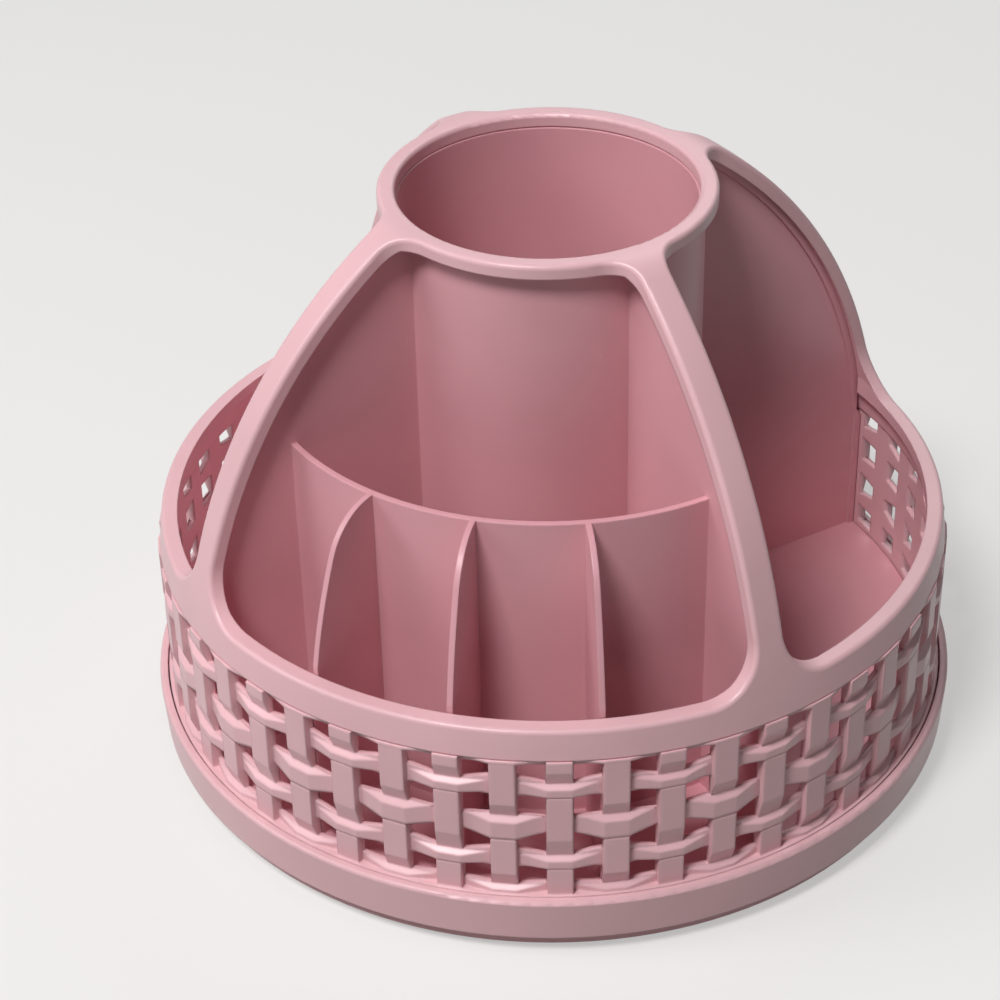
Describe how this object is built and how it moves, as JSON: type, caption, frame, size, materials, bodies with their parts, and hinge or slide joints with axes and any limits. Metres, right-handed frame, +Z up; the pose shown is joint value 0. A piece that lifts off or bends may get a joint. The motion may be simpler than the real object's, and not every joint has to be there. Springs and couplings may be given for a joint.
{
  "type": "rotating makeup organizer",
  "caption": "Domed cosmetics carousel with a brush cup, open compartments and a basket-weave rim on a ball-bearing turntable.",
  "frame": {"origin": "on the turning axis, at the height of the surface that the feet stand on", "axes": "+Z up along the turning axis, -Y towards the front compartments with the dividers, +X to the right of them"},
  "size_m": [0.23, 0.23, 0.167],
  "materials": {
    "frame_plastic": "satin moulded pink plastic",
    "basket_plastic": "satin moulded pink plastic",
    "insert_plastic": "satin moulded pink plastic",
    "tray_plastic": "satin moulded pink plastic",
    "base_plastic": "moulded pink plastic",
    "cage_plastic": "natural moulded plastic",
    "ball_steel": "polished steel",
    "screw_steel": "zinc-plated steel",
    "foot_rubber": "dark soft rubber"
  },
  "bodies": {
    "base": {"base_disc": "base_plastic", "rubber_feet": "foot_rubber", "pivot_cap": "base_plastic"},
    "turntable": {"top_frame": "frame_plastic", "woven_basket": "basket_plastic", "compartment_insert": "insert_plastic", "turntable_tray": "tray_plastic", "basket_screws": "screw_steel", "pivot_screw": "screw_steel", "pivot_washer": "screw_steel"},
    "cage": {"ball_cage": "cage_plastic", "bearing_balls": "ball_steel"}
  },
  "joints": [
    {"name": "turntable_spin", "type": "hinge", "parent": "base", "child": "turntable", "pos_m": [0, 0, 0.005], "axis": [0, 0, 1], "continuous": true},
    {"name": "cage_spin", "type": "hinge", "parent": "base", "child": "cage", "pos_m": [0, 0, 0.00545], "axis": [0, 0, 1], "continuous": true}
  ],
  "couplings": [
    {"joint": "cage_spin", "follows": "turntable_spin", "ratio": 0.5}
  ]
}
